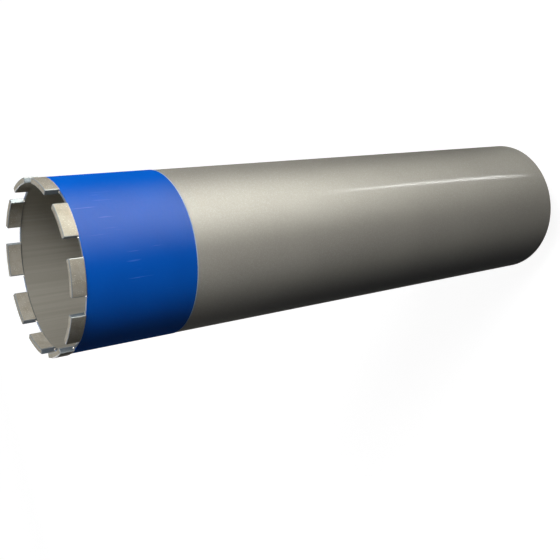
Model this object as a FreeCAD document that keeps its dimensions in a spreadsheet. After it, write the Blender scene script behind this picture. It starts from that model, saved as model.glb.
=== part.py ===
import FreeCAD, Part
import Sketcher
import math
import os

# A wet diamond core bit. It stands on its hub, with the crown of segments at the top.
# The origin is the centre of the hub's seat face, and +Z runs along the barrel towards the crown.

# Driving dimensions in millimetres and degrees, and the number of segments.
SIZES = {
    "tube_outer_diameter": 120.0,
    "tube_wall": 2.2,
    "tube_length": 465.0,
    "tube_back_bevel": 0.8,
    "segment_count": 10,
    "segment_arc_length": 24.0,
    "segment_height": 10.0,
    "segment_stand_outside": 1.0,
    "segment_stand_inside": 0.8,
    "segment_edge_bevel": 0.5,
    "braze_leg": 1.0,
    "braze_side_gap": 0.15,
    "band_width": 80.0,
    "band_thickness": 0.25,
    "plate_thickness": 10.0,
    "plate_recess": 3.0,
    "hub_length": 38.0,
    "hub_across_flats": 41.0,
    "hub_seat_diameter": 40.0,
    "hub_bevel_angle": 30.0,
    "hub_collar_diameter": 50.0,
    "hub_collar_height": 7.0,
    "hub_spigot_diameter": 38.0,
    "hub_bore_diameter": 28.0,
    "hub_mouth_diameter": 33.0,
    "hub_weld_leg": 4.0,
}

# Radii and levels that follow from the driving dimensions.
TUBE_RADIUS = "sizes.tube_outer_diameter / 2"
TUBE_BORE = "(sizes.tube_outer_diameter / 2 - sizes.tube_wall)"
BAND_RADIUS = "(sizes.tube_outer_diameter / 2 + sizes.band_thickness)"
CROWN_OUTER = "(sizes.tube_outer_diameter / 2 + sizes.segment_stand_outside)"
CROWN_INNER = "(sizes.tube_outer_diameter / 2 - sizes.tube_wall - sizes.segment_stand_inside)"
HALF_SPAN = f"(sizes.segment_arc_length / ({CROWN_OUTER} + {CROWN_INNER}) * 180 / pi)"
PLATE_OUTER_FACE = "sizes.hub_length"
PLATE_INNER_FACE = "(sizes.hub_length + sizes.plate_thickness)"
TUBE_BACK = "(sizes.hub_length - sizes.plate_recess)"
RIM = f"({TUBE_BACK} + sizes.tube_length)"
BAND_EDGE = f"({RIM} - sizes.band_width)"
COLLAR_FACE = "(sizes.hub_length - sizes.hub_collar_height)"
COLLAR_RADIUS = "sizes.hub_collar_diameter / 2"
SPIGOT_RADIUS = "sizes.hub_spigot_diameter / 2"
HUB_BORE = "sizes.hub_bore_diameter / 2"
HUB_MOUTH = "sizes.hub_mouth_diameter / 2"
HUB_CORNER = "sizes.hub_across_flats / sqrt(3)"
# The tool that bevels the hub's corners reaches this far past them.
TOOL_OVERRUN = 1.0
TOOL_REACH = f"({HUB_CORNER} + {TOOL_OVERRUN})"
TOOL_LEVEL = f"(({TOOL_REACH} - sizes.hub_seat_diameter / 2) * tan(sizes.hub_bevel_angle * 1 deg))"

HUB_SIDES = 6
PARTS_FOLDER = "parts"
ORIGIN = FreeCAD.Vector(0, 0, 0)
UP = FreeCAD.Vector(0, 0, 1)
NEAR = 0.001

doc = FreeCAD.newDocument("core_bit")


def make_sheet():
    """The sheet of driving dimensions, one row each."""
    sheet = doc.addObject("Spreadsheet::Sheet", "sizes")
    for row, (alias, number) in enumerate(SIZES.items(), start=1):
        sheet.set(f"A{row}", alias)
        sheet.set(f"B{row}", str(number))
        sheet.setAlias(f"B{row}", alias)
    doc.recompute()
    return sheet


def value(expression):
    """The present value of an expression over the sheet."""
    return float(sheet.evalExpression(expression))


def new_body(label):
    """An empty body named as the piece."""
    body = doc.addObject("PartDesign::Body", label)
    body.Label = label
    return body


def new_sketch(body, role, name):
    """A sketch on one of the body's own origin planes."""
    plane = next(item for item in body.Origin.OriginFeatures if item.Role == role)
    sketch = body.newObject("Sketcher::SketchObject", name)
    sketch.AttachmentSupport = [(plane, "")]
    sketch.MapMode = "FlatFace"
    return sketch


def bound(sketch, name, expression, kind, *where):
    """A sketch constraint with a name, tied to the sheet."""
    number = value(expression)
    if kind == "Angle":
        number = math.radians(number)
        expression = f"({expression}) * 1 deg"
    index = sketch.addConstraint(Sketcher.Constraint(kind, *where, number))
    sketch.renameConstraint(index, name)
    sketch.setExpression(f"Constraints.{name}", expression)


def chain(sketch, items):
    """Joins each drawn item's end to the next one's start, round to the first."""
    for item, following in zip(items, items[1:] + items[:1]):
        sketch.addConstraint(Sketcher.Constraint("Coincident", item, 2, following, 1))


def place_corners(sketch, corners):
    """Ties the start of each drawn item to its radius and level, given as expressions."""
    for item, (radius, level) in enumerate(corners):
        bound(sketch, f"radius_{item}", radius, "DistanceX", -1, 1, item, 1)
        if level == "0":
            sketch.addConstraint(Sketcher.Constraint("PointOnObject", item, 1, -1))
        else:
            bound(sketch, f"level_{item}", level, "DistanceY", -1, 1, item, 1)


def straight_outline(body, name, corners):
    """A closed outline of straight sides in the plane of the axis, from corners of radius and level."""
    sketch = new_sketch(body, "XZ_Plane", name)
    points = [FreeCAD.Vector(value(radius), value(level), 0) for radius, level in corners]
    for point, following in zip(points, points[1:] + points[:1]):
        sketch.addGeometry(Part.LineSegment(point, following), False)
    chain(sketch, list(range(len(points))))
    place_corners(sketch, corners)
    return sketch


def turned(body, kind, sketch):
    """A full turn of an outline about the axis, as material or as a cut."""
    turn = body.newObject(kind, f"{sketch.Name}_turn")
    turn.Profile = sketch
    turn.ReferenceAxis = (sketch, ["V_Axis"])
    turn.Angle = 360.0
    body.Tip = turn
    return turn


def padded(body, sketch, length):
    """An outline carried straight up by a length."""
    pad = body.newObject("PartDesign::Pad", f"{sketch.Name}_pad")
    pad.Profile = sketch
    pad.setExpression("Length", length)
    body.Tip = pad
    return pad


def bevelled(body, base, picks_edge, size):
    """A small bevel along the edges of a feature that a test picks."""
    doc.recompute()
    names = [f"Edge{i}" for i, edge in enumerate(base.Shape.Edges, start=1) if picks_edge(edge)]
    chamfer = body.newObject("PartDesign::Chamfer", f"{base.Name}_bevels")
    chamfer.Base = (base, names)
    chamfer.setExpression("Size", size)
    body.Tip = chamfer
    return chamfer


def make_barrel_tube():
    """The plain barrel: one length of tube with a clean rim and its outer back edge broken."""
    body = new_body("barrel_tube")
    corners = [(TUBE_BORE, TUBE_BACK), (TUBE_RADIUS, TUBE_BACK), (TUBE_RADIUS, RIM), (TUBE_BORE, RIM)]
    wall = turned(body, "PartDesign::Revolution", straight_outline(body, "tube_wall_outline", corners))

    def outer_back_edge(edge):
        circle = edge.Curve
        if not isinstance(circle, Part.Circle):
            return False
        at_back = abs(circle.Center.z - value(TUBE_BACK)) < NEAR
        return at_back and abs(circle.Radius - value(TUBE_RADIUS)) < NEAR

    bevelled(body, wall, outer_back_edge, "sizes.tube_back_bevel")
    return body


def make_blue_band():
    """The thin coloured sleeve that lies on the barrel from the rim down."""
    body = new_body("blue_band")
    corners = [(TUBE_RADIUS, BAND_EDGE), (BAND_RADIUS, BAND_EDGE), (BAND_RADIUS, RIM), (TUBE_RADIUS, RIM)]
    turned(body, "PartDesign::Revolution", straight_outline(body, "band_outline", corners))
    return body


def arc_outline(body, name):
    """The plan of a segment: two arcs about the barrel's axis, closed by sides that point to it."""
    sketch = new_sketch(body, "XY_Plane", name)
    half = value(HALF_SPAN)
    turn = math.radians(half)
    outer_arc, inner_arc, low_side, high_side = range(4)
    for radius in (CROWN_OUTER, CROWN_INNER):
        circle = Part.Circle(ORIGIN, UP, value(radius))
        sketch.addGeometry(Part.ArcOfCircle(circle, -turn, turn), False)
    for side in (-half, half):
        out = FreeCAD.Rotation(UP, side).multVec(FreeCAD.Vector(1, 0, 0))
        sketch.addGeometry(Part.LineSegment(out * value(CROWN_INNER), out * value(CROWN_OUTER)), False)
    for arc in (outer_arc, inner_arc):
        sketch.addConstraint(Sketcher.Constraint("Coincident", arc, 3, -1, 1))
    for side, arc_end in ((low_side, 1), (high_side, 2)):
        sketch.addConstraint(Sketcher.Constraint("Coincident", side, 1, inner_arc, arc_end))
        sketch.addConstraint(Sketcher.Constraint("Coincident", side, 2, outer_arc, arc_end))
        sketch.addConstraint(Sketcher.Constraint("PointOnObject", -1, 1, side))
    sketch.addConstraint(Sketcher.Constraint("Symmetric", outer_arc, 1, outer_arc, 2, -1))
    bound(sketch, "outer_radius", CROWN_OUTER, "Radius", outer_arc)
    bound(sketch, "inner_radius", CROWN_INNER, "Radius", inner_arc)
    bound(sketch, "half_span", HALF_SPAN, "Angle", -1, 1, high_side, 1)
    return sketch


def set_on_rim(piece, number):
    """Seats a piece of the crown on the rim, at its share of the circle."""
    piece.Placement = FreeCAD.Placement(ORIGIN, FreeCAD.Rotation(UP, 0))
    piece.setExpression("Placement.Base.z", RIM)
    piece.setExpression("Placement.Rotation.Angle", f"{number - 1} * 360 / sizes.segment_count")


def make_segment(number):
    """One arc-shaped segment, with every edge broken but the two where its ends meet the rim."""
    body = new_body(f"segment_{number:02d}")
    block = padded(body, arc_outline(body, f"arc_{number:02d}"), "sizes.segment_height")

    def off_the_solder(edge):
        return edge.CenterOfMass.z > NEAR or isinstance(edge.Curve, Part.Circle)

    bevelled(body, block, off_the_solder, "sizes.segment_edge_bevel")
    set_on_rim(body, number)
    return body


def make_braze(number):
    """The solder of one segment: a small fillet in each corner between the segment's ends and the rim."""
    left = doc.addObject("Part::Wedge", f"solder_left_{number:02d}")
    for low in ("Xmin", "X2min"):
        left.setExpression(low, f"{TUBE_BORE} + sizes.braze_side_gap")
    for high in ("Xmax", "X2max"):
        left.setExpression(high, f"{TUBE_RADIUS} - sizes.braze_side_gap")
    for corner in ("Ymin", "Zmin", "Z2min", "Z2max"):
        setattr(left, corner, 0)
    for leg in ("Ymax", "Zmax"):
        left.setExpression(leg, "sizes.braze_leg")
    left.Placement = FreeCAD.Placement(ORIGIN, FreeCAD.Rotation(UP, 1))
    left.setExpression("Placement.Rotation.Angle", HALF_SPAN)
    right = doc.addObject("Part::Mirroring", f"solder_right_{number:02d}")
    right.Source = left
    right.Base = ORIGIN
    right.Normal = FreeCAD.Vector(0, 1, 0)
    pair = doc.addObject("Part::Compound", f"braze_{number:02d}")
    pair.Label = f"braze_{number:02d}"
    pair.Links = [left, right]
    set_on_rim(pair, number)
    return pair


def make_end_plate():
    """The disc that closes the barrel, set a little inside its back end to leave room for the weld."""
    body = new_body("end_plate")
    corners = [
        (SPIGOT_RADIUS, PLATE_OUTER_FACE),
        (TUBE_BORE, PLATE_OUTER_FACE),
        (TUBE_BORE, PLATE_INNER_FACE),
        (SPIGOT_RADIUS, PLATE_INNER_FACE),
    ]
    turned(body, "PartDesign::Revolution", straight_outline(body, "plate_outline", corners))
    return body


def hexagon_outline(body, name):
    """A hexagon with a round hole for the bore, with flats that face along the X axis."""
    sketch = new_sketch(body, "XY_Plane", name)
    out = FreeCAD.Vector(value(HUB_CORNER), 0, 0)
    corners = [FreeCAD.Rotation(UP, (i + 0.5) * 360 / HUB_SIDES).multVec(out) for i in range(HUB_SIDES)]
    for point, following in zip(corners, corners[1:] + corners[:1]):
        sketch.addGeometry(Part.LineSegment(point, following), False)
    sides = list(range(HUB_SIDES))
    bore, guide = HUB_SIDES, HUB_SIDES + 1
    sketch.addGeometry(Part.Circle(ORIGIN, UP, value(HUB_BORE)), False)
    sketch.addGeometry(Part.Circle(ORIGIN, UP, value(HUB_CORNER)), True)
    chain(sketch, sides)
    for circle in (bore, guide):
        sketch.addConstraint(Sketcher.Constraint("Coincident", circle, 3, -1, 1))
    for side in sides:
        sketch.addConstraint(Sketcher.Constraint("PointOnObject", side, 1, guide))
    for side in sides[1:]:
        sketch.addConstraint(Sketcher.Constraint("Equal", sides[0], side))
    sketch.addConstraint(Sketcher.Constraint("Vertical", sides[-1]))
    bound(sketch, "bore_radius", HUB_BORE, "Radius", bore)
    bound(sketch, "corner_radius", HUB_CORNER, "Radius", guide)
    return sketch


def make_threaded_hub():
    """The hub: a spigot through the plate, a collar against it, and a bored hexagon for the machine.

    The bore is drawn at the thread's inner diameter and lets the water through.
    """
    body = new_body("threaded_hub")
    corners = [
        (HUB_BORE, COLLAR_FACE),
        (COLLAR_RADIUS, COLLAR_FACE),
        (COLLAR_RADIUS, PLATE_OUTER_FACE),
        (SPIGOT_RADIUS, PLATE_OUTER_FACE),
        (SPIGOT_RADIUS, PLATE_INNER_FACE),
        (HUB_BORE, PLATE_INNER_FACE),
    ]
    turned(body, "PartDesign::Revolution", straight_outline(body, "collar_outline", corners))
    full = padded(body, hexagon_outline(body, "hexagon"), COLLAR_FACE)
    mouth = [(HUB_BORE, "0"), (HUB_MOUTH, "0"), (HUB_BORE, f"({HUB_MOUTH} - {HUB_BORE})")]
    countersunk = turned(body, "PartDesign::Groove", straight_outline(body, "mouth_cut", mouth))
    bevel = [("sizes.hub_seat_diameter / 2", "0"), (TOOL_REACH, "0"), (TOOL_REACH, TOOL_LEVEL)]
    finished = turned(body, "PartDesign::Groove", straight_outline(body, "bevel_cut", bevel))
    doc.recompute()
    for before, after in ((full, countersunk), (countersunk, finished)):
        if after.Shape.Volume >= before.Shape.Volume:
            raise RuntimeError(f"{after.Name} cuts nothing")
    return body


def make_weld_bead(label, radius, leg, outward):
    """A fillet weld in the corner between a round wall and the plate's outer face.

    outward is 1 where the bead lies outside its wall, and -1 where it lies inside.
    """
    body = new_body(label)
    corners = [
        (radius, PLATE_OUTER_FACE),
        (f"({radius} + {outward} * {leg})", PLATE_OUTER_FACE),
        (radius, f"({PLATE_OUTER_FACE} - {leg})"),
    ]
    turned(body, "PartDesign::Revolution", straight_outline(body, f"{label}_outline", corners))
    return body


def check(pieces):
    """Stops on any failed object and on any piece without a sound shape."""
    doc.recompute()
    for item in doc.Objects:
        if "Invalid" in item.State or "Error" in item.State:
            raise RuntimeError(f"{item.Label} is {item.State}")
    for piece in pieces:
        if piece.Shape.isNull() or not piece.Shape.isValid():
            raise RuntimeError(f"{piece.Label} has no sound shape")


sheet = make_sheet()
numbers = range(1, SIZES["segment_count"] + 1)
pieces = [make_barrel_tube(), make_blue_band(), make_end_plate(), make_threaded_hub()]
pieces += [make_segment(number) for number in numbers]
pieces += [make_braze(number) for number in numbers]
pieces.append(make_weld_bead("plate_weld", TUBE_BORE, "sizes.plate_recess", -1))
pieces.append(make_weld_bead("hub_weld", COLLAR_RADIUS, "sizes.hub_weld_leg", 1))
check(pieces)

os.makedirs(PARTS_FOLDER, exist_ok=True)
for piece in pieces:
    piece.Shape.exportStep(f"{PARTS_FOLDER}/{piece.Label}.step")
    box = piece.Shape.BoundBox
    print(f"{piece.Label}: {piece.Shape.Volume:.2f} mm3, z {box.ZMin:.3f} to {box.ZMax:.3f}")
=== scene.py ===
import bmesh
import bpy
import math
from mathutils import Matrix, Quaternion, Vector


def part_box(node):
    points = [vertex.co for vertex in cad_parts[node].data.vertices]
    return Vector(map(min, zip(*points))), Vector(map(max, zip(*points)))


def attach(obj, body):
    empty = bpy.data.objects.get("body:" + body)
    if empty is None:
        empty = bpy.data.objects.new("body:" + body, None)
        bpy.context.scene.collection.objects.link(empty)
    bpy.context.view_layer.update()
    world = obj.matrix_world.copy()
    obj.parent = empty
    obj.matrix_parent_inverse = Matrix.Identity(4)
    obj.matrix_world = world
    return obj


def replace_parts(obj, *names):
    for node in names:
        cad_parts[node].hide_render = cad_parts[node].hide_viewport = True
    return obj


# A wet diamond core bit, standing on its hub with the crown of segments at the top.
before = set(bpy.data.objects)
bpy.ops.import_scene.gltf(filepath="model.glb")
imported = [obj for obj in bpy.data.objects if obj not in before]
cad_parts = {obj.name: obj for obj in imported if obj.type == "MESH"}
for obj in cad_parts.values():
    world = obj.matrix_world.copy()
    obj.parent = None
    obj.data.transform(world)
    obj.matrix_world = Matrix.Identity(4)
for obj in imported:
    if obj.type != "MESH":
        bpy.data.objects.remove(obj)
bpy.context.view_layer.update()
MM = 0.001


# The barrel: one length of drawn steel tube with a clean square rim. The outside is sprayed with a warm grey
# satin lacquer, the bore keeps only a mist of it, and the heat of the brazing has tinted the rim.

tube_low, tube_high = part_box("barrel_tube")
band_low, band_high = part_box("blue_band")
plate_low, plate_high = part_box("end_plate")
tube_radius = tube_high.x
bore_radius = plate_high.x
tube_back = tube_low.z
rim = tube_high.z
back_bevel = 0.8 * MM
rim_break = 0.2 * MM
TURN_STEPS = 240
CORNER_STEPS = 3


def turned_piece(name, outline):
    """A piece turned about the barrel's axis, from a closed outline of radius and level."""
    mesh = bmesh.new()
    columns = []
    for step in range(TURN_STEPS):
        angle = math.tau * step / TURN_STEPS
        columns.append([mesh.verts.new((r * math.cos(angle), r * math.sin(angle), z)) for r, z in outline])
    for column, following in zip(columns, columns[1:] + columns[:1]):
        for i in range(len(outline)):
            j = (i + 1) % len(outline)
            mesh.faces.new((column[i], following[i], following[j], column[j]))
    return finished_piece(name, mesh)


def finished_piece(name, mesh, sharp_angle=35):
    """Turns a built mesh into a piece of the object, smooth but for its real edges."""
    bmesh.ops.recalc_face_normals(mesh, faces=mesh.faces)
    data = bpy.data.meshes.new(name)
    mesh.to_mesh(data)
    mesh.free()
    data.shade_smooth()
    data.set_sharp_from_angle(angle=math.radians(sharp_angle))
    piece = bpy.data.objects.new(name, data)
    bpy.context.scene.collection.objects.link(piece)
    weighted = piece.modifiers.new("true_face_normals", "WEIGHTED_NORMAL")
    weighted.keep_sharp = True
    return piece


def rounded_corner(radius, level, size, start):
    """Points of a quarter round that breaks an outline's corner, from a start angle in degrees."""
    points = []
    for step in range(CORNER_STEPS + 1):
        turn = math.radians(start + 90 * step / CORNER_STEPS)
        points.append((radius + size * math.cos(turn), level + size * math.sin(turn)))
    return points


def linear(hex_colour):
    """An sRGB hex colour as the linear colour that a shader takes."""
    channels = [int(hex_colour[i:i + 2], 16) / 255 for i in (1, 3, 5)]
    return [c / 12.92 if c <= 0.04045 else ((c + 0.055) / 1.055) ** 2.4 for c in channels] + [1.0]


def new_material(name):
    """A material with an empty node tree and its output."""
    material = bpy.data.materials.new(name)
    material.use_nodes = True
    material.node_tree.nodes.clear()
    material.node_tree.nodes.new("ShaderNodeOutputMaterial")
    return material


def add_node(owner, kind, inputs=None, **settings):
    """One node with its settings, and its inputs set to a value or linked from another node's socket."""
    made = owner.node_tree.nodes.new(kind)
    for name, setting in settings.items():
        setattr(made, name, setting)
    for socket, source in (inputs or {}).items():
        if isinstance(source, bpy.types.NodeSocket):
            owner.node_tree.links.new(source, made.inputs[socket])
        else:
            made.inputs[socket].default_value = source
    return made


def show(owner, shader, output="Material Output"):
    """Links a shader to the surface of its material or world."""
    owner.node_tree.links.new(shader, owner.node_tree.nodes[output].inputs["Surface"])


# Satin two-pack lacquer with fine metal flake, sprayed: a soft broad shine, a faint orange peel about 4 mm
# across, and a clear top coat that draws a lamp as a thin streak. The coat is a small share of a strong
# mirror, so its shine is as soft at the barrel's edges as at its middle. The flake is drawn at 0.5 mm,
# coarser than it is, so that it shows.
LACQUER = "#ADA99E"
LACQUER_FLAKE = "#BEBCB5"
LACQUER_SHADE = "#9C988E"
flake_size = 0.5 * MM
peel_size = 4.0 * MM
cloud_size = 60.0 * MM


def make_lacquer():
    lacquer = new_material("warm_grey_satin_lacquer")
    place = add_node(lacquer, "ShaderNodeTexCoord").outputs["Object"]
    flakes = add_node(lacquer, "ShaderNodeTexVoronoi", {"Vector": place, "Scale": 1 / flake_size})
    flake_tone = add_node(lacquer, "ShaderNodeSeparateColor", {"Color": flakes.outputs["Color"]})
    bright_flakes = add_node(lacquer, "ShaderNodeMapRange", {
        "Value": flake_tone.outputs["Red"], "From Min": 0.55, "To Max": 0.35})
    clouds = add_node(lacquer, "ShaderNodeTexNoise", {
        "Vector": place, "Scale": 1 / cloud_size, "Detail": 3.0})
    base = add_node(lacquer, "ShaderNodeMix", {
        "Factor": clouds.outputs["Fac"], "A": linear(LACQUER), "B": linear(LACQUER_SHADE)}, data_type="RGBA")
    colour = add_node(lacquer, "ShaderNodeMix", {
        "Factor": bright_flakes.outputs["Result"], "A": base.outputs["Result"], "B": linear(LACQUER_FLAKE)},
        data_type="RGBA")
    peel = add_node(lacquer, "ShaderNodeTexNoise", {"Vector": place, "Scale": 1 / peel_size, "Detail": 2.0})
    bump = add_node(lacquer, "ShaderNodeBump", {
        "Height": peel.outputs["Fac"], "Strength": 0.04, "Distance": 0.2 * MM})
    roughness = add_node(lacquer, "ShaderNodeMapRange", {
        "Value": clouds.outputs["Fac"], "To Min": 0.48, "To Max": 0.56})
    paint = add_node(lacquer, "ShaderNodeBsdfPrincipled", {
        "Base Color": colour.outputs["Result"], "Roughness": roughness.outputs["Result"], "Metallic": 0.0,
        "Specular IOR Level": 0.0, "Coat Weight": 0.022, "Coat IOR": 4.0, "Coat Roughness": 0.12,
        "Normal": bump.outputs["Normal"]})
    show(lacquer, paint.outputs["BSDF"])
    return lacquer


# Drawn steel with a thin mist of the lacquer: duller and darker than the outside, with faint draw lines
# about 2 mm apart along the bore.
BORE_LIGHT = "#98948A"
BORE_DARK = "#8D8A80"
draw_line_gap = 2.0 * MM
draw_line_length = 150.0 * MM


def make_drawn_bore():
    drawn = new_material("drawn_steel_bore")
    place = add_node(drawn, "ShaderNodeTexCoord").outputs["Object"]
    stretched = add_node(drawn, "ShaderNodeMapping", {
        "Vector": place, "Scale": (1 / draw_line_gap, 1 / draw_line_gap, 1 / draw_line_length)})
    lines = add_node(drawn, "ShaderNodeTexNoise", {
        "Vector": stretched.outputs["Vector"], "Scale": 1.0, "Detail": 4.0})
    tone = add_node(drawn, "ShaderNodeMapRange", {
        "Value": lines.outputs["Fac"], "From Min": 0.3, "From Max": 0.7})
    colour = add_node(drawn, "ShaderNodeMix", {
        "Factor": tone.outputs["Result"], "A": linear(BORE_DARK), "B": linear(BORE_LIGHT)}, data_type="RGBA")
    bump = add_node(drawn, "ShaderNodeBump", {
        "Height": lines.outputs["Fac"], "Strength": 0.012, "Distance": 0.1 * MM})
    steel = add_node(drawn, "ShaderNodeBsdfPrincipled", {
        "Base Color": colour.outputs["Result"], "Roughness": 0.5, "Metallic": 0.4,
        "Normal": bump.outputs["Normal"]})
    show(drawn, steel.outputs["BSDF"])
    return drawn


# Metal that the heat of the brazing has tinted, on the rim and on the segments' ends: a dull grey-blue film
# of oxide in patches some 10 mm long, which hides most of the shine.
HEAT_BLUE = "#455562"
HEAT_GREY = "#56585A"
heat_patch = 10.0 * MM


def make_heat_tinted_metal():
    tinted = new_material("heat_tinted_metal")
    place = add_node(tinted, "ShaderNodeTexCoord").outputs["Object"]
    patches = add_node(tinted, "ShaderNodeTexNoise", {
        "Vector": place, "Scale": 1 / heat_patch, "Detail": 3.0})
    colour = add_node(tinted, "ShaderNodeMix", {
        "Factor": patches.outputs["Fac"], "A": linear(HEAT_GREY), "B": linear(HEAT_BLUE)}, data_type="RGBA")
    roughness = add_node(tinted, "ShaderNodeMapRange", {
        "Value": patches.outputs["Fac"], "To Min": 0.4, "To Max": 0.55})
    steel = add_node(tinted, "ShaderNodeBsdfPrincipled", {
        "Base Color": colour.outputs["Result"], "Roughness": roughness.outputs["Result"],
        "Metallic": 0.3})
    show(tinted, steel.outputs["BSDF"])
    return tinted


lacquer = make_lacquer()
drawn_bore = make_drawn_bore()
heat_tinted = make_heat_tinted_metal()

tube_outline = [
    (bore_radius, tube_back),
    (tube_radius - back_bevel, tube_back),
    (tube_radius, tube_back + back_bevel),
]
tube_outline += rounded_corner(tube_radius - rim_break, rim - rim_break, rim_break, 0)
tube_outline += rounded_corner(bore_radius + rim_break, rim - rim_break, rim_break, 90)
barrel = turned_piece("barrel", tube_outline)
for material in (lacquer, drawn_bore, heat_tinted):
    barrel.data.materials.append(material)
for face in barrel.data.polygons:
    reach = math.hypot(face.center.x, face.center.y)
    if face.center.z > rim - rim_break:
        face.material_index = 2
    elif reach < bore_radius + rim_break:
        face.material_index = 1
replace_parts(barrel, "barrel_tube")
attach(barrel, "root")


# The blue band: a glossy self-coloured film wrapped round the crown end of the barrel up to the rim. Its cut
# edge is painted pale as a thin line, a painted highlight along the film's edge.

band_radius = band_high.x
band_edge = band_low.z
edge_round = 0.1 * MM
edge_strip = 0.8 * MM

# Gloss vinyl film: a deep blue under a smooth clear face, with fine scratches along the barrel from
# handling. Its pigment scatters light widely, so the blue stays deep towards the barrel's edges. The clear
# face is a small share of a strong mirror, like the lacquer's. The scratches are drawn 1.2 mm apart, coarser
# than they are, so that they show.
BAND_BLUE = "#045CC3"
BAND_BLUE_DEEP = "#0354B6"
SCRATCH_PALE = "#3A70CC"
scratch_gap = 1.2 * MM
scratch_length = 22.0 * MM
tone_patch = 30.0 * MM
rubbed_spots = ((-0.0602, -0.0015, 0.456), (-0.043, -0.0421, 0.486))
rubbed_reach = 26.0 * MM
rubbed_core = 0.4 * rubbed_reach


def make_blue_film():
    blue = new_material("glossy_blue_film")
    place = add_node(blue, "ShaderNodeTexCoord").outputs["Object"]
    stretched = add_node(blue, "ShaderNodeMapping", {
        "Vector": place, "Rotation": (0.03, 0.02, 0.0),
        "Scale": (1 / scratch_gap, 1 / scratch_gap, 1 / scratch_length)})
    hairs = add_node(blue, "ShaderNodeTexNoise", {
        "Vector": stretched.outputs["Vector"], "Scale": 1.0, "Detail": 1.0})
    thin = add_node(blue, "ShaderNodeMapRange", {
        "Value": hairs.outputs["Fac"], "From Min": 0.68, "From Max": 0.76})
    patches = add_node(blue, "ShaderNodeTexNoise", {"Vector": place, "Scale": 1 / tone_patch, "Detail": 1.0})
    worn = 0.0
    for spot in rubbed_spots:
        from_spot = add_node(blue, "ShaderNodeVectorMath", {0: place, 1: spot}, operation="DISTANCE")
        here = add_node(blue, "ShaderNodeMapRange", {
            "Value": from_spot.outputs["Value"], "From Min": rubbed_reach, "From Max": rubbed_core})
        nearest = add_node(blue, "ShaderNodeMath", {0: here.outputs["Result"], 1: worn}, operation="MAXIMUM")
        worn = nearest.outputs["Value"]
    scratched = add_node(blue, "ShaderNodeMath", {0: thin.outputs["Result"], 1: worn}, operation="MULTIPLY")
    base = add_node(blue, "ShaderNodeMix", {
        "Factor": patches.outputs["Fac"], "A": linear(BAND_BLUE), "B": linear(BAND_BLUE_DEEP)},
        data_type="RGBA")
    colour = add_node(blue, "ShaderNodeMix", {
        "Factor": scratched.outputs["Value"], "A": base.outputs["Result"], "B": linear(SCRATCH_PALE)},
        data_type="RGBA")
    roughness = add_node(blue, "ShaderNodeMapRange", {
        "Value": scratched.outputs["Value"], "To Min": 0.16, "To Max": 0.5})
    bump = add_node(blue, "ShaderNodeBump", {
        "Height": scratched.outputs["Value"], "Strength": 0.1, "Distance": 0.02 * MM}, invert=True)
    vinyl = add_node(blue, "ShaderNodeBsdfPrincipled", {
        "Base Color": colour.outputs["Result"], "Roughness": roughness.outputs["Result"], "Metallic": 0.0,
        "Diffuse Roughness": 0.8, "Specular IOR Level": 0.0,
        "Coat Weight": 0.0068, "Coat IOR": 4.0, "Coat Roughness": 0.1, "Normal": bump.outputs["Normal"]})
    show(blue, vinyl.outputs["BSDF"])
    return blue


# The film's cut edge: a matt vinyl painted pale, a painted highlight along the film's edge.
FILM_EDGE_HIGHLIGHT = "#C6D3DC"
FILM_EDGE_HIGHLIGHT_BLUE = "#8FAECB"


def make_film_edge_highlight():
    edge = new_material("film_edge_painted_highlight")
    place = add_node(edge, "ShaderNodeTexCoord").outputs["Object"]
    ragged = add_node(edge, "ShaderNodeTexNoise", {"Vector": place, "Scale": 1 / scratch_gap, "Detail": 2.0})
    colour = add_node(edge, "ShaderNodeMix", {
        "Factor": ragged.outputs["Fac"], "A": linear(FILM_EDGE_HIGHLIGHT), "B": linear(FILM_EDGE_HIGHLIGHT_BLUE)},
        data_type="RGBA")
    vinyl = add_node(edge, "ShaderNodeBsdfPrincipled", {
        "Base Color": colour.outputs["Result"], "Roughness": 0.6, "Metallic": 0.0,
        "Specular IOR Level": 0.0})
    show(edge, vinyl.outputs["BSDF"])
    return edge


band_outline = [(tube_radius, band_edge)]
band_outline += rounded_corner(band_radius - edge_round, band_edge + edge_round, edge_round, -90)
band_outline += [(band_radius, band_edge + edge_strip)]
band_outline += rounded_corner(band_radius - edge_round, rim - edge_round, edge_round, 0)
band_outline += [(tube_radius, rim)]
band = turned_piece("band", band_outline)
band.data.materials.append(make_blue_film())
band.data.materials.append(make_film_edge_highlight())
# The lowest strip of the band takes the pale colour of the painted edge highlight.
for face in band.data.polygons:
    if face.center.z < band_edge + edge_strip:
        face.material_index = 1
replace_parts(band, "blue_band")
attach(band, "root")


# The segments: arcs of sintered metal powder with diamond grit, pressed, sintered and ground, then brazed on
# the rim. Each stands a little proud of the wall on both sides, so that the bit cuts its own clearance.

segment_names = sorted(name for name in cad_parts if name.startswith("segment_"))
first_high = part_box(segment_names[0])[1]
crown_outer = first_high.x
segment_top = first_high.z
segment_stand_inside = 0.8 * MM
crown_inner = bore_radius - segment_stand_inside
segment_arc_length = 24.0 * MM
half_span = segment_arc_length / (crown_outer + crown_inner)
edge_size = 0.55 * MM
ARC_STEPS = 14

# Sintered bronze and cobalt matrix with diamond grit: a matt warm grey with a fine open grain, a weak metal
# sheen, and paler, slightly green crystals of about 0.4 mm, drawn at 0.7 mm so that they show.
MATRIX = "#A29D92"
MATRIX_DARK = "#908A7D"
CRYSTAL = "#C8C3B0"
grain_size = 0.35 * MM
crystal_size = 0.7 * MM
press_cloud = 6.0 * MM


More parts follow.
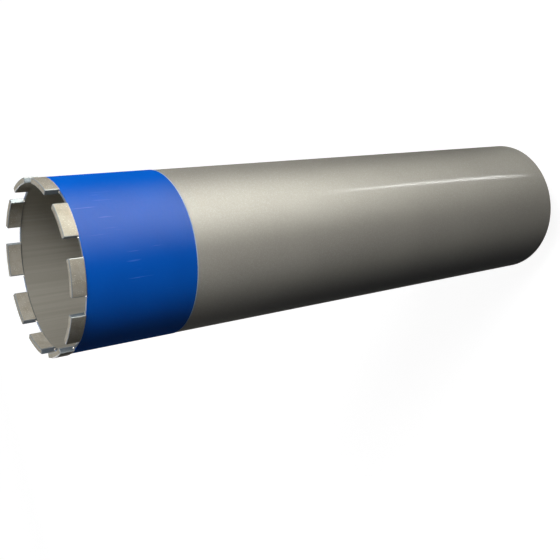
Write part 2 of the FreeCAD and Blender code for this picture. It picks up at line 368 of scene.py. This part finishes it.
def make_sintered_matrix():
    matrix = new_material("sintered_diamond_matrix")
    place = add_node(matrix, "ShaderNodeTexCoord").outputs["Object"]
    grain = add_node(matrix, "ShaderNodeTexNoise", {"Vector": place, "Scale": 1 / grain_size, "Detail": 3.0})
    clouds = add_node(matrix, "ShaderNodeTexNoise", {
        "Vector": place, "Scale": 1 / press_cloud, "Detail": 3.0})
    mottle = add_node(matrix, "ShaderNodeMath", {
        0: grain.outputs["Fac"], 1: clouds.outputs["Fac"]}, operation="MULTIPLY")
    tone = add_node(matrix, "ShaderNodeMapRange", {
        "Value": mottle.outputs["Value"], "From Min": 0.12, "From Max": 0.36})
    base = add_node(matrix, "ShaderNodeMix", {
        "Factor": tone.outputs["Result"], "A": linear(MATRIX_DARK), "B": linear(MATRIX)}, data_type="RGBA")
    crystals = add_node(matrix, "ShaderNodeTexVoronoi", {"Vector": place, "Scale": 1 / crystal_size})
    near_centre = add_node(matrix, "ShaderNodeMapRange", {
        "Value": crystals.outputs["Distance"], "From Min": 0.32, "From Max": 0.22})
    chance = add_node(matrix, "ShaderNodeSeparateColor", {"Color": crystals.outputs["Color"]})
    rare = add_node(matrix, "ShaderNodeMath", {0: chance.outputs["Red"], 1: 0.72}, operation="GREATER_THAN")
    shown = add_node(matrix, "ShaderNodeMath", {
        0: near_centre.outputs["Result"], 1: rare.outputs["Value"]}, operation="MULTIPLY")
    colour = add_node(matrix, "ShaderNodeMix", {
        "Factor": shown.outputs["Value"], "A": base.outputs["Result"], "B": linear(CRYSTAL)},
        data_type="RGBA")
    height = add_node(matrix, "ShaderNodeMath", {
        0: grain.outputs["Fac"], 1: shown.outputs["Value"]}, operation="ADD")
    bump = add_node(matrix, "ShaderNodeBump", {
        "Height": height.outputs["Value"], "Strength": 0.3, "Distance": 0.1 * MM})
    sinter = add_node(matrix, "ShaderNodeBsdfPrincipled", {
        "Base Color": colour.outputs["Result"], "Roughness": 0.4, "Metallic": 0.032,
        "Specular IOR Level": 0.0, "Normal": bump.outputs["Normal"]})
    show(matrix, sinter.outputs["BSDF"])
    return matrix


# The segments' edges, which the press and handling have rubbed smooth: the same matrix without its open
# grain and a little glossier, and painted darker, a painted shade line round each matt face.
RUBBED_EDGE_PAINTED_SHADE = "#84898B"
RUBBED_EDGE_PAINTED_SHADE_DULL = "#6C6F70"
rub_size = 1.2 * MM


def make_rubbed_edges_painted_shade():
    rubbed = new_material("rubbed_matrix_edges_painted_shade")
    place = add_node(rubbed, "ShaderNodeTexCoord").outputs["Object"]
    patches = add_node(rubbed, "ShaderNodeTexNoise", {"Vector": place, "Scale": 1 / rub_size, "Detail": 3.0})
    colour = add_node(rubbed, "ShaderNodeMix", {
        "Factor": patches.outputs["Fac"], "A": linear(RUBBED_EDGE_PAINTED_SHADE_DULL), "B": linear(RUBBED_EDGE_PAINTED_SHADE)}, data_type="RGBA")
    bump = add_node(rubbed, "ShaderNodeBump", {
        "Height": patches.outputs["Fac"], "Strength": 0.25, "Distance": 0.1 * MM})
    metal = add_node(rubbed, "ShaderNodeBsdfPrincipled", {
        "Base Color": colour.outputs["Result"], "Roughness": 0.4, "Metallic": 0.1, "Specular IOR Level": 0.2,
        "Normal": bump.outputs["Normal"]})
    show(rubbed, metal.outputs["BSDF"])
    return rubbed


def arc_block(centre_angle):
    """An arc-shaped block on the rim with every edge broken but the two where its ends meet the rim."""
    mesh = bmesh.new()
    sections = []
    for step in range(ARC_STEPS + 1):
        angle = centre_angle + half_span * (2 * step / ARC_STEPS - 1)
        ray = Vector((math.cos(angle), math.sin(angle), 0))
        corners = [
            (crown_inner, rim),
            (crown_outer, rim),
            (crown_outer, segment_top),
            (crown_inner, segment_top),
        ]
        sections.append([mesh.verts.new(ray * radius + Vector((0, 0, level))) for radius, level in corners])
    for section, following in zip(sections, sections[1:]):
        for i in range(4):
            j = (i + 1) % 4
            mesh.faces.new((section[i], following[i], following[j], section[j]))
    end_faces = [mesh.faces.new(sections[0]), mesh.faces.new(reversed(sections[-1]))]
    bmesh.ops.recalc_face_normals(mesh, faces=mesh.faces)
    broken = []
    for edge in mesh.edges:
        on_rim = all(vertex.co.z < rim + edge_size / 2 for vertex in edge.verts)
        on_end = any(face in end_faces for face in edge.link_faces)
        if edge.calc_face_angle(0) > math.radians(60) and not (on_rim and on_end):
            broken.append(edge)
    for face in end_faces:
        face.material_index = 2
    bmesh.ops.bevel(mesh, geom=broken, offset=edge_size, segments=3, profile=0.5, affect="EDGES", material=1)
    return mesh


sintered_matrix = make_sintered_matrix()
rubbed_edges_painted_shade = make_rubbed_edges_painted_shade()
for number, node_name in enumerate(segment_names):
    segment = finished_piece(f"crown_{node_name}", arc_block(math.tau * number / len(segment_names)))
    segment.data.materials.append(sintered_matrix)
    # The bevels take the darker edge colour, painted shade round each face.
    segment.data.materials.append(rubbed_edges_painted_shade)
    segment.data.materials.append(heat_tinted)
    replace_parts(segment, node_name)
    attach(segment, "root")


# The solder: silver solder that was melted under each segment, ran out into the corners between its ends and
# the rim, and froze there as small bright hollow fillets.

solder_leg = 1.0 * MM
solder_side_gap = 0.15 * MM
mean_leg = 0.86
leg_swell = 0.14
swell_run = 5.3
swell_shift = 1.7
leg_at_edge = 0.55
leg_growth = 2.2
SOLDER_STEPS = 9
HOLLOW_STEPS = 5

# Silver solder, a little tarnished: grey-white metal, smooth where it flowed, with the small ripples of its
# freezing.
SOLDER = "#C4C2BC"
SOLDER_TARNISH = "#98948A"
ripple_size = 0.6 * MM


def make_silver_solder():
    silver = new_material("flowed_silver_solder")
    place = add_node(silver, "ShaderNodeTexCoord").outputs["Object"]
    ripples = add_node(silver, "ShaderNodeTexNoise", {
        "Vector": place, "Scale": 1 / ripple_size, "Detail": 2.0})
    colour = add_node(silver, "ShaderNodeMix", {
        "Factor": ripples.outputs["Fac"], "A": linear(SOLDER), "B": linear(SOLDER_TARNISH)},
        data_type="RGBA")
    bump = add_node(silver, "ShaderNodeBump", {
        "Height": ripples.outputs["Fac"], "Strength": 0.3, "Distance": 0.1 * MM})
    metal = add_node(silver, "ShaderNodeBsdfPrincipled", {
        "Base Color": colour.outputs["Result"], "Roughness": 0.22, "Metallic": 1.0,
        "Normal": bump.outputs["Normal"]})
    show(silver, metal.outputs["BSDF"])
    return silver


def solder_fillet(mesh, end_angle, side, phase):
    """Adds a hollow fillet between a segment's end and the rim, on side 1 or -1 round the barrel."""
    inner = bore_radius + solder_side_gap
    outer = tube_radius - solder_side_gap
    ray = Vector((math.cos(end_angle), math.sin(end_angle), 0))
    away = Vector((-ray.y, ray.x, 0)) * side
    sections = []
    for step in range(SOLDER_STEPS + 1):
        share = step / SOLDER_STEPS
        swell = mean_leg + leg_swell * math.sin(phase + swell_run * share)
        leg = solder_leg * swell * min(1.0, leg_at_edge + leg_growth * min(share, 1 - share))
        foot = ray * (inner + (outer - inner) * share) + Vector((0, 0, rim))
        section = [mesh.verts.new(foot)]
        for hollow in range(HOLLOW_STEPS + 1):
            turn = math.pi / 2 * hollow / HOLLOW_STEPS
            out = leg * (1 - math.sin(turn))
            up = leg * (1 - math.cos(turn))
            section.append(mesh.verts.new(foot + away * out + Vector((0, 0, up))))
        sections.append(section)
    for section, following in zip(sections, sections[1:]):
        for i in range(len(section)):
            j = (i + 1) % len(section)
            mesh.faces.new((section[i], following[i], following[j], section[j]))
    mesh.faces.new(sections[0])
    mesh.faces.new(reversed(sections[-1]))


silver_solder = make_silver_solder()
for number, node_name in enumerate(sorted(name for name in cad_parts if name.startswith("braze_"))):
    centre_angle = math.tau * number / len(segment_names)
    mesh = bmesh.new()
    for side in (-1, 1):
        solder_fillet(mesh, centre_angle + side * half_span, side, swell_shift * number + side)
    solder = finished_piece(f"solder_{number + 1:02d}", mesh, sharp_angle=50)
    solder.data.materials.append(silver_solder)
    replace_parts(solder, node_name)
    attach(solder, "root")


# The end plate: a flame-cut and turned steel disc, set 3 mm inside the barrel's back end. The lacquer covers
# its outer face, and its inner face has only a mist of it, like the bore.

hub_low, hub_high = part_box("threaded_hub")
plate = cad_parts["end_plate"]
plate.data.materials.clear()
plate.data.materials.append(lacquer)
plate.data.materials.append(drawn_bore)
for face in plate.data.polygons:
    face.material_index = 1 if face.normal.z > 0.5 else 0


# The hub: one turned steel piece with a spigot through the plate, a collar against it, and a hexagon for the
# spanner. The machine's thread, 1-1/4 inch with 7 turns to the inch, is cut right through it.

INCH = 25.4 * MM
hub_seat = hub_low.z
hub_end = hub_high.z
collar_radius = hub_high.x
collar_height = 7.0 * MM
collar_face = plate_low.z - collar_height
spigot_radius = 19.0 * MM
across_flats = 41.0 * MM
seat_radius = 20.0 * MM
bevel_angle = math.radians(30)
mouth_radius = 16.5 * MM
thread_inner = 14.0 * MM
thread_outer = 1.25 * INCH / 2
thread_pitch = INCH / 7
crest_share = 0.125
flank_share = 0.62
end_break = 0.4 * MM
corner_reach = 23.4 * MM
turned_break = 0.4 * MM
HUB_STEPS = 120
TURN_SAMPLES = 14


# Mild steel from the lathe and the mill, lightly oiled: a soft grey mirror with turning marks round the
# axis, drawn 0.4 mm apart, coarser than they are, so that they show.
TURNED_STEEL = "#94938F"
TURNED_STEEL_DARK = "#72716E"
turning_mark_gap = 0.4 * MM


def make_turned_steel():
    turned = new_material("turned_bright_steel")
    place = add_node(turned, "ShaderNodeTexCoord").outputs["Object"]
    apart = add_node(turned, "ShaderNodeSeparateXYZ", {"Vector": place})
    flat = add_node(turned, "ShaderNodeCombineXYZ", {"X": apart.outputs["X"], "Y": apart.outputs["Y"]})
    radius = add_node(turned, "ShaderNodeVectorMath", {0: flat.outputs["Vector"]}, operation="LENGTH")
    across = add_node(turned, "ShaderNodeMath", {
        0: radius.outputs["Value"], 1: apart.outputs["Z"]}, operation="ADD")
    marks = add_node(turned, "ShaderNodeTexNoise", {
        "W": across.outputs["Value"], "Scale": 1 / turning_mark_gap, "Detail": 2.0}, noise_dimensions="1D")
    colour = add_node(turned, "ShaderNodeMix", {
        "Factor": marks.outputs["Fac"], "A": linear(TURNED_STEEL_DARK), "B": linear(TURNED_STEEL)},
        data_type="RGBA")
    bump = add_node(turned, "ShaderNodeBump", {
        "Height": marks.outputs["Fac"], "Strength": 0.15, "Distance": 0.05 * MM})
    steel = add_node(turned, "ShaderNodeBsdfPrincipled", {
        "Base Color": colour.outputs["Result"], "Roughness": 0.32, "Metallic": 1.0,
        "Normal": bump.outputs["Normal"]})
    show(turned, steel.outputs["BSDF"])
    return turned


def hexagon_reach(angle):
    """The hexagon's radius at an angle, with flats that face along X and corners turned off a little."""
    off_flat = (angle + math.pi / 6) % (math.pi / 3) - math.pi / 6
    return min(across_flats / 2 / math.cos(off_flat), corner_reach)


def thread_radius(angle, level):
    """The bore's radius at a place on its right-hand thread, with flat crests and roots."""
    turn = (level / thread_pitch - angle / math.tau) % 1.0
    climb = 2 * abs(turn - 0.5)
    flank = min(1.0, max(0.0, (climb - crest_share) / flank_share))
    cut = thread_inner + (thread_outer - thread_inner) * flank
    from_mouth = mouth_radius - (level - hub_seat)
    from_end = thread_outer + end_break - (hub_end - level)
    return max(cut, from_mouth, from_end)


def make_hub_mesh():
    mesh = bmesh.new()
    thread_rows = int((hub_end - hub_seat) / thread_pitch * TURN_SAMPLES)
    columns = []
    for step in range(HUB_STEPS):
        angle = math.tau * step / HUB_STEPS
        side = hexagon_reach(angle)
        bevel_level = hub_seat + (side - seat_radius) * math.tan(bevel_angle)
        outline = [
            (seat_radius, hub_seat),
            (side, bevel_level),
            (side, collar_face),
            (collar_radius - turned_break, collar_face),
            (collar_radius, collar_face + turned_break),
            (collar_radius, plate_low.z),
            (spigot_radius, plate_low.z),
            (spigot_radius, hub_end - turned_break),
            (spigot_radius - turned_break, hub_end),
        ]
        for row in range(thread_rows + 1):
            level = hub_end - (hub_end - hub_seat) * row / thread_rows
            outline.append((thread_radius(angle, level), level))
        ray = Vector((math.cos(angle), math.sin(angle), 0))
        columns.append([mesh.verts.new(ray * radius + Vector((0, 0, level))) for radius, level in outline])
    for column, following in zip(columns, columns[1:] + columns[:1]):
        for i in range(len(column)):
            j = (i + 1) % len(column)
            mesh.faces.new((column[i], following[i], following[j], column[j]))
    return mesh


hub = finished_piece("hub", make_hub_mesh(), sharp_angle=25)
hub.data.materials.append(make_turned_steel())
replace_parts(hub, "threaded_hub")
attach(hub, "root")


# The weld beads: one round the hub's collar and one in the corner between the plate and the barrel's end.
# Each is laid by machine as a row of overlapping ripples, and is sprayed over with the barrel.

ripple_pitch = 2.4 * MM
ripple_lag = 1.5
bead_bulge = 0.06
ripple_rise = 0.07
diagonal = 0.707
BEAD_POINTS = 8
RIPPLE_SAMPLES = 6


def weld_bead(name, wall_radius, leg, outward):
    """A rippled bead in the corner between a round wall and the plate's outer face, bulging a little."""
    mesh = bmesh.new()
    middle = wall_radius + outward * leg / 2
    ripples = round(math.tau * middle / ripple_pitch)
    steps = ripples * RIPPLE_SAMPLES
    columns = []
    for step in range(steps):
        angle = math.tau * step / steps
        ray = Vector((math.cos(angle), math.sin(angle), 0))
        column = [mesh.verts.new(ray * wall_radius + Vector((0, 0, plate_low.z)))]
        for point in range(BEAD_POINTS + 1):
            share = point / BEAD_POINTS
            lag = ripple_lag * (share - 0.5) ** 2
            phase = (step / RIPPLE_SAMPLES + lag) % 1.0
            swell = (bead_bulge + ripple_rise * phase) * math.sin(math.pi * share)
            out = leg * (1 - share + diagonal * swell)
            down = leg * (share + diagonal * swell)
            down = min(down, plate_low.z - tube_back) if outward < 0 else down
            place = ray * (wall_radius + outward * out) + Vector((0, 0, plate_low.z - down))
            column.append(mesh.verts.new(place))
        columns.append(column)
    for column, following in zip(columns, columns[1:] + columns[:1]):
        for i in range(len(column)):
            j = (i + 1) % len(column)
            mesh.faces.new((column[i], following[i], following[j], column[j]))
    bead = finished_piece(name, mesh, sharp_angle=60)
    bead.data.materials.append(lacquer)
    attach(bead, "root")
    return bead


hub_weld_leg = 4.0 * MM
plate_weld_leg = 3.0 * MM
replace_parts(weld_bead("hub_bead", collar_radius, hub_weld_leg, 1), "hub_weld")
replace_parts(weld_bead("plate_bead", bore_radius, plate_weld_leg, -1), "plate_weld")


# The studio: a plain pale floor that the bit stands on, and plain air round it. The camera and polished
# metal see both as white, with the bit's soft shadow on the floor, and the light that both scatter onto the
# bit is dim.

FLOOR = "#232427"
FLOOR_SEEN = "#808080"
floor_half = 6.0
near_glow = 0.9
near_reach = 0.4
far_reach = 2.5


def seen_ray(owner):
    """1 for the camera and for mirrored and refracted views, and 0 for light that scatters."""
    path = add_node(owner, "ShaderNodeLightPath")
    mirrored = add_node(owner, "ShaderNodeMath", {
        0: path.outputs["Is Camera Ray"], 1: path.outputs["Is Glossy Ray"]}, operation="MAXIMUM")
    seen = add_node(owner, "ShaderNodeMath", {
        0: mirrored.outputs["Value"], 1: path.outputs["Is Transmission Ray"]}, operation="MAXIMUM")
    return seen.outputs["Value"]


# Matt photographer's paper: a plain even tone without grain. It glows a little less near the bit, where its
# own colour then shows the shadow.
paper = new_material("plain_matt_floor_paper")
matt = add_node(paper, "ShaderNodeBsdfDiffuse", {"Color": linear(FLOOR)})
lit = add_node(paper, "ShaderNodeBsdfDiffuse", {"Color": linear(FLOOR_SEEN)})
on_paper = add_node(paper, "ShaderNodeTexCoord").outputs["Object"]
from_bit = add_node(paper, "ShaderNodeVectorMath", {0: on_paper}, operation="LENGTH")
level = add_node(paper, "ShaderNodeMapRange", {
    "Value": from_bit.outputs["Value"], "From Min": near_reach, "From Max": far_reach, "To Min": near_glow},
    interpolation_type="SMOOTHSTEP")
glow = add_node(paper, "ShaderNodeEmission", {
    "Color": linear("#FFFFFF"), "Strength": level.outputs["Result"]})
white = add_node(paper, "ShaderNodeAddShader", {0: lit.outputs["BSDF"], 1: glow.outputs["Emission"]})
surface = add_node(paper, "ShaderNodeMixShader", {
    0: seen_ray(paper), 1: matt.outputs["BSDF"], 2: white.outputs["Shader"]})
show(paper, surface.outputs["Shader"])
floor_mesh = bmesh.new()
bmesh.ops.create_grid(floor_mesh, x_segments=4, y_segments=4, size=floor_half)
floor = finished_piece("floor", floor_mesh)
floor.data.materials.append(paper)

AIR = "#DCE6FF"
air_strength = 0.018
world = bpy.data.worlds.new("studio_air")
bpy.context.scene.world = world
world.use_nodes = True
world.node_tree.nodes.clear()
world.node_tree.nodes.new("ShaderNodeOutputWorld")
air = add_node(world, "ShaderNodeBackground", {"Color": linear(AIR), "Strength": air_strength})
white_wall = add_node(world, "ShaderNodeBackground", {"Color": linear("#FFFFFF"), "Strength": 1.0})
around = add_node(world, "ShaderNodeMixShader", {
    0: seen_ray(world), 1: air.outputs["Background"], 2: white_wall.outputs["Background"]})
show(world, around.outputs["Shader"], "World Output")


# The soft boxes: a large one high on the side that the photograph is lit from, one behind that opens the far
# side, and a small weak one beside the crown that opens the shaded side of the band.

middle = (0, 0, 0.28)
crown_middle = (0, 0, 0.47)


def soft_box(name, place, aim, across, along, radiance, scatters=True, mirrors=True, turn=0.0, hot=0.35):
    """A cloth-fronted lamp, at its full radiance in the hot share of its middle and fading to its rim."""
    light = bpy.data.lights.new(name, "AREA")
    light.shape = "RECTANGLE"
    light.size = across
    light.size_y = along
    light.energy = radiance * math.pi * across * along
    light.use_nodes = True
    cloth = add_node(light, "ShaderNodeNewGeometry").outputs["Parametric"]
    from_middle = add_node(light, "ShaderNodeVectorMath", {
        0: cloth, 1: (0.5, 0.5, 0.0)}, operation="DISTANCE")
    fade = add_node(light, "ShaderNodeMapRange", {
        "Value": from_middle.outputs["Value"], "From Min": 0.5, "From Max": 0.5 * hot},
        interpolation_type="SMOOTHSTEP")
    emission = light.node_tree.nodes["Emission"]
    light.node_tree.links.new(fade.outputs["Result"], emission.inputs["Strength"])
    lamp = bpy.data.objects.new(name, light)
    lamp.location = place
    lamp.rotation_mode = "QUATERNION"
    facing = (Vector(aim) - Vector(place)).to_track_quat("-Z", "Y")
    lamp.rotation_quaternion = facing @ Quaternion((0, 0, 1), turn)
    lamp.visible_camera = False
    lamp.visible_diffuse = scatters
    lamp.visible_glossy = mirrors
    bpy.context.scene.collection.objects.link(lamp)


def round_about(bearing, distance, level):
    """A place at a bearing in degrees round the barrel's axis."""
    turn = math.radians(bearing)
    return Vector((distance * math.cos(turn), distance * math.sin(turn), level))


soft_box("key_box", round_about(-131, 0.72, 1.0), middle, across=0.65, along=0.6, radiance=22.5)
soft_box("back_box", round_about(30, 1.5, 1.0), middle, across=0.9, along=0.9, radiance=14.0)
soft_box("crown_fill", round_about(147, 0.22, 0.47), crown_middle, across=0.15, along=0.15, radiance=0.55,
         mirrors=False)


# The card: a wide reflector on the floor that only the bit's shine shows. It is brightest along one bearing
# and falls off to both sides in a fan, is dimmer close to the bit and fades out far away, so that its image
# in the lacquer is one broad soft highlight.

CARD = "#FAF8EA"
card_half = 3.0
card_level = 5 * MM
card_bearing = math.radians(-114)
card_radiance = 46.0
fan_edge = 0.3
fan_power = 2.4
dim_share = 0.3
dim_reach = 0.05
full_reach = 0.6
fade_reach = 1.2

card_light = bpy.data.lights.new("floor_card", "AREA")
card_light.shape = "SQUARE"
card_light.size = 2 * card_half
card_light.energy = card_radiance * math.pi * (2 * card_half) ** 2
card_light.color = linear(CARD)[:3]
card_light.use_nodes = True
spot = add_node(card_light, "ShaderNodeNewGeometry").outputs["Position"]
outward = add_node(card_light, "ShaderNodeVectorMath", {0: spot}, operation="NORMALIZE")
along_bearing = add_node(card_light, "ShaderNodeVectorMath", {
    0: outward.outputs["Vector"], 1: (math.cos(card_bearing), math.sin(card_bearing), 0.0)},
    operation="DOT_PRODUCT")
fan = add_node(card_light, "ShaderNodeMapRange", {
    "Value": along_bearing.outputs["Value"], "From Min": fan_edge})
soft_fan = add_node(card_light, "ShaderNodeMath", {
    0: fan.outputs["Result"], 1: fan_power}, operation="POWER")
away = add_node(card_light, "ShaderNodeVectorMath", {0: spot}, operation="LENGTH")
rise = add_node(card_light, "ShaderNodeMapRange", {
    "Value": away.outputs["Value"], "From Min": dim_reach, "From Max": full_reach, "To Min": dim_share},
    interpolation_type="SMOOTHSTEP")
fade = add_node(card_light, "ShaderNodeMapRange", {
    "Value": away.outputs["Value"], "From Min": card_half, "From Max": fade_reach},
    interpolation_type="SMOOTHSTEP")
shaped = add_node(card_light, "ShaderNodeMath", {
    0: soft_fan.outputs["Value"], 1: rise.outputs["Result"]}, operation="MULTIPLY")
glowing = add_node(card_light, "ShaderNodeMath", {
    0: shaped.outputs["Value"], 1: fade.outputs["Result"]}, operation="MULTIPLY")
card_emission = card_light.node_tree.nodes["Emission"]
card_light.node_tree.links.new(glowing.outputs["Value"], card_emission.inputs["Strength"])
card = bpy.data.objects.new("floor_card", card_light)
card.location = (0, 0, card_level)
card.rotation_euler = (math.pi, 0, 0)
card.visible_camera = False
card.visible_diffuse = False
bpy.context.scene.collection.objects.link(card)


# The strip: a narrow lamp on the floor, just above the card so that the card doesn't hide it, that only the
# bit's shine shows. Its image is the thin streak along the barrel.

strip_width = 0.02
strip_near = Vector((-0.0625, -0.05, 0.009))
strip_far = Vector((-0.1917, -0.4, 0.009))

strip_line = strip_far - strip_near
strip_middle = (strip_near + strip_far) / 2
strip_turn = math.pi / 2 - math.atan2(strip_line.y, strip_line.x)
soft_box("streak_strip", strip_middle, strip_middle + Vector((0, 0, 1)), across=strip_width,
         along=strip_line.length, radiance=50.0, scatters=False, turn=strip_turn, hot=0.7)


# The camera looks down at the crown from beside it, rolled so that the barrel lies across the picture.

camera_place = Vector((-0.53129, -0.07934, 0.69038))
camera_aim = Vector((-0.00744, 0.03431, 0.31567))
camera_roll = math.radians(99.78)
camera_data = bpy.data.cameras.new("camera")
camera_data.sensor_width = 36.0
camera_data.lens = 52.23
camera_data.clip_start = 0.01
camera_data.clip_end = 50.0
camera = bpy.data.objects.new("camera", camera_data)
camera.location = camera_place
level_view = (camera_aim - camera_place).to_track_quat("-Z", "Y")
camera.rotation_mode = "QUATERNION"
camera.rotation_quaternion = level_view @ Quaternion((0, 0, 1), -camera_roll)
bpy.context.scene.collection.objects.link(camera)
bpy.context.scene.camera = camera
bpy.context.scene.view_settings.view_transform = "Standard"
